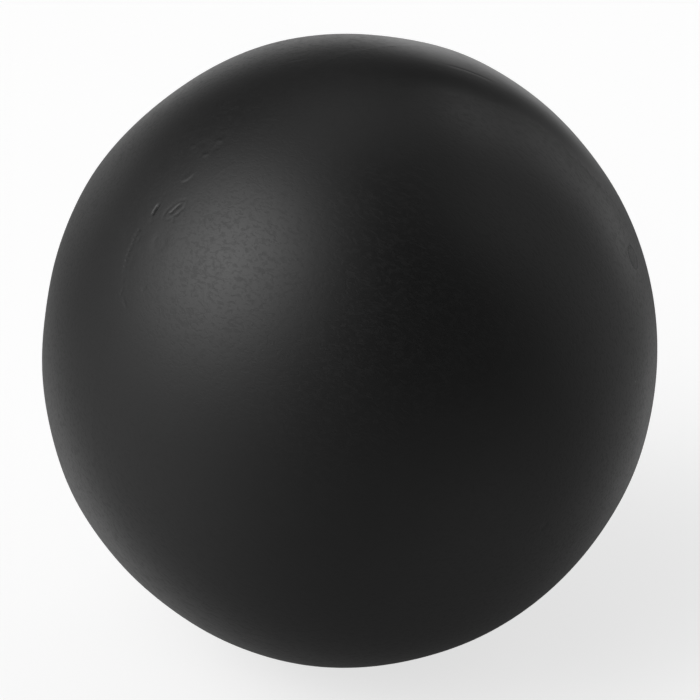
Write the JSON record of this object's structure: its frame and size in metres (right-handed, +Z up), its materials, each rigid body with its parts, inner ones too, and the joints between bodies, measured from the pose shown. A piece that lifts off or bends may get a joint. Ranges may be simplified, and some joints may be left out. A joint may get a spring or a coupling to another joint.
{
  "type": "case opening friction ball",
  "caption": "Hollow black rubber ball that turns screwed watch case backs by friction: half shells cemented at an upright seam, closed by a small rubber inflation plug.",
  "frame": {"origin": "centre of the ball", "axes": "+Z up, along the ball's slightly longer diameter; the seam stands upright in the YZ plane, and +X runs from it into the half shell that holds the plug"},
  "size_m": [0.064, 0.064, 0.0664],
  "materials": {
    "black_rubber": "satin, fine moulded grain",
    "plug_rubber": "satin",
    "rubber_cement": "satin"
  },
  "bodies": {
    "root": {"plain_half_shell": "black_rubber", "plug_half_shell": "black_rubber", "seam_cement": "rubber_cement", "inflation_plug": "plug_rubber", "plug_cement": "rubber_cement"}
  },
  "joints": []
}
